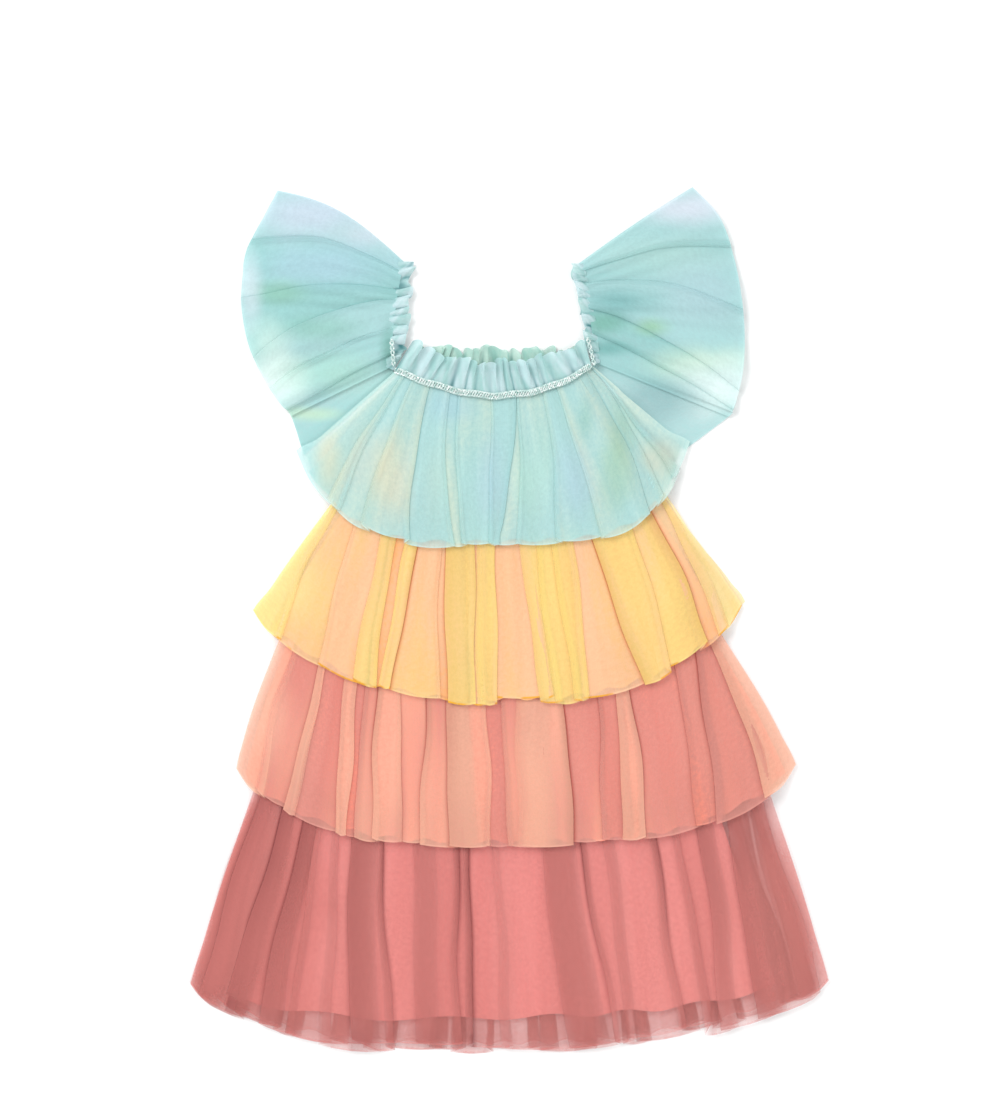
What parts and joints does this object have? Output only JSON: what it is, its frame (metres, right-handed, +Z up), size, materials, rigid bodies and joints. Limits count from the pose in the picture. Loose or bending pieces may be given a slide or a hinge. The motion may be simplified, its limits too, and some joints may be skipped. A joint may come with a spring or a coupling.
{
  "type": "princess costume dress, laid flat",
  "caption": "Child's princess costume dress of gathered tulle tiers over a lining, with flutter sleeves and a glitter neck trim, laid flat on its back.",
  "frame": {"origin": "on the surface the dress lies on, at the middle of the dress seen from above", "axes": "+X to the viewer's right across the dress, +Y from the hem towards the neck, +Z up from the surface"},
  "size_m": [0.4792, 0.6495, 0.0176],
  "materials": {
    "mint_tulle": "soft matt net, watercolour dyed",
    "yellow_tulle": "soft matt net",
    "peach_tulle": "soft matt net",
    "rose_tulle": "soft matt net",
    "pink_satin": "satin",
    "glitter_trim": "glitter"
  },
  "bodies": {
    "root": {"tier_1_front": "mint_tulle", "tier_1_back": "mint_tulle", "tier_2_front": "yellow_tulle", "tier_2_back": "yellow_tulle", "tier_3_front": "peach_tulle", "tier_3_back": "peach_tulle", "tier_4_front": "rose_tulle", "tier_4_back": "rose_tulle", "lining_front": "pink_satin", "lining_back": "pink_satin", "sleeve_left": "mint_tulle", "sleeve_right": "mint_tulle", "neck_trim": "glitter_trim"}
  },
  "joints": []
}
